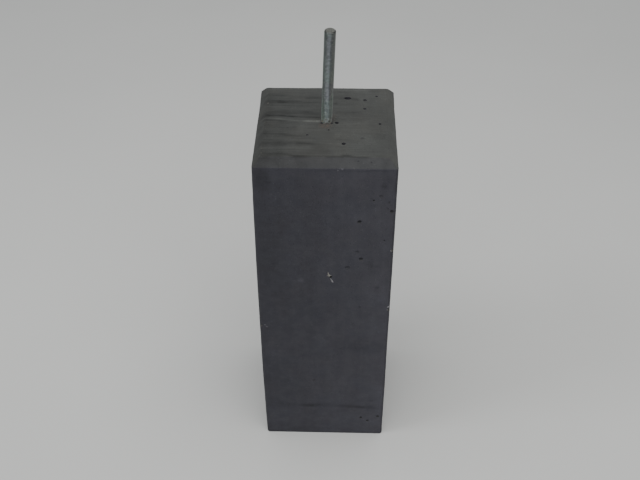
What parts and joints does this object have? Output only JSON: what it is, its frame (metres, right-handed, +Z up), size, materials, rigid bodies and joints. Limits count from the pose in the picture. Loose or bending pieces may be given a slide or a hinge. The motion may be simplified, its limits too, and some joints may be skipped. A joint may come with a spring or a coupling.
{
  "type": "column base block",
  "caption": "Square cast concrete pier block, slightly wider at its foot, with a chamfered top and a leaning threaded rod cast into the middle to bolt down a post.",
  "frame": {"origin": "middle of the block's underside", "axes": "+Z up the block, +X to the right and the front along -Y; the rod leans towards +X"},
  "size_m": [0.206, 0.206, 0.7426],
  "materials": {
    "dark_concrete": "matte",
    "zinc_plate": "satin"
  },
  "bodies": {
    "root": {"concrete_block": "dark_concrete", "threaded_rod": "zinc_plate"}
  },
  "joints": []
}
